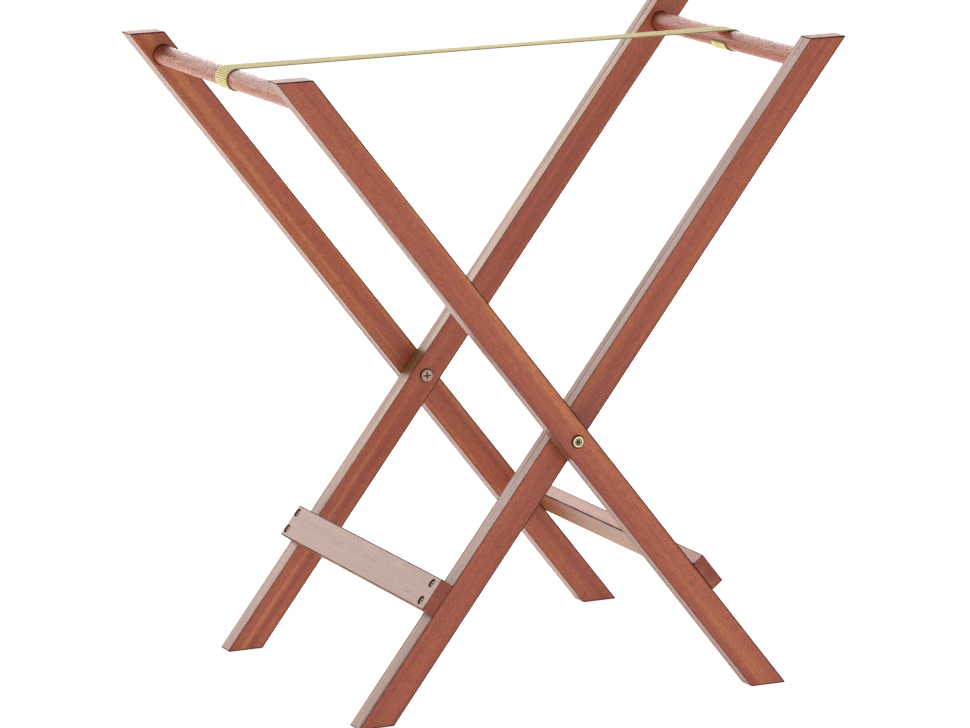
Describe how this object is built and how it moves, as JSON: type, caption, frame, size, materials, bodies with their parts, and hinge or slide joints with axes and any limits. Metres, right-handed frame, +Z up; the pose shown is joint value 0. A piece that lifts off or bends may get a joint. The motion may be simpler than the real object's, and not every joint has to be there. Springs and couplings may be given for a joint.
{
  "type": "folding luggage rack",
  "caption": "X-shaped folding wooden stand with two round rails, two stretcher boards and one webbing strap across the top.",
  "frame": {"origin": "on the floor, under the middle of the opened stand", "axes": "+X from the outer leg pair's rail to the inner pair's rail, +Y along the rails from the front of the picture to its back, +Z up"},
  "size_m": [0.753, 0.5124, 0.787],
  "materials": {
    "lacquered_wood": "semi-gloss mahogany lacquer over open-pored hardwood",
    "webbing": "ribbed woven webbing, pale gold",
    "pivot_brass": "brass-plated steel, lightly worn",
    "washers": "brass-plated steel",
    "screws": "dark bronzed steel",
    "staples": "brass-coloured coated wire"
  },
  "bodies": {
    "outer_frame": {"outer_leg_front": "lacquered_wood", "outer_leg_back": "lacquered_wood", "outer_rail": "lacquered_wood", "outer_board": "lacquered_wood", "outer_board_screw_front_lower": "screws", "outer_board_screw_front_upper": "screws", "outer_rail_screw_front": "screws", "outer_rail_plug_front": "lacquered_wood", "outer_board_screw_back_lower": "screws", "outer_board_screw_back_upper": "screws", "outer_rail_screw_back": "screws", "outer_rail_plug_back": "lacquered_wood", "outer_strap_wrap": "webbing", "outer_strap_staple_front": "staples", "outer_strap_staple_back": "staples", "pivot_bolt_front": "pivot_brass", "sleeve_nut_front": "pivot_brass", "pivot_washer_front": "washers", "pivot_bolt_back": "pivot_brass", "sleeve_nut_back": "pivot_brass", "pivot_washer_back": "washers"},
    "inner_frame": {"inner_leg_front": "lacquered_wood", "inner_leg_back": "lacquered_wood", "inner_rail": "lacquered_wood", "inner_board": "lacquered_wood", "inner_board_screw_front_lower": "screws", "inner_board_screw_front_upper": "screws", "inner_rail_screw_front": "screws", "inner_rail_plug_front": "lacquered_wood", "inner_board_screw_back_lower": "screws", "inner_board_screw_back_upper": "screws", "inner_rail_screw_back": "screws", "inner_rail_plug_back": "lacquered_wood", "inner_strap_wrap": "webbing", "inner_strap_staple_front": "staples", "inner_strap_staple_back": "staples"},
    "strap_outer_half": {"outer_strap_run": "webbing"},
    "strap_inner_half": {"inner_strap_run": "webbing"}
  },
  "joints": [
    {"name": "fold", "type": "hinge", "parent": "outer_frame", "child": "inner_frame", "pos_m": [0, 0, 0.329], "axis": [0, 1, 0], "range_deg": [-70, 0]},
    {"name": "strap_outer_droop", "type": "hinge", "parent": "outer_frame", "child": "strap_outer_half", "pos_m": [0.2803, 0, 0.41738], "axis": [0, 1, 0], "range_deg": [-35, 0], "deforming": ["outer_strap_run"]},
    {"name": "strap_inner_droop", "type": "hinge", "parent": "inner_frame", "child": "strap_inner_half", "pos_m": [-0.2803, 0, 0.41738], "axis": [0, 1, 0], "range_deg": [0, 35], "deforming": ["inner_strap_run"]}
  ],
  "couplings": [
    {"joint": "strap_outer_droop", "follows": "fold", "ratio": 0.5},
    {"joint": "strap_inner_droop", "follows": "fold", "ratio": -0.5}
  ]
}
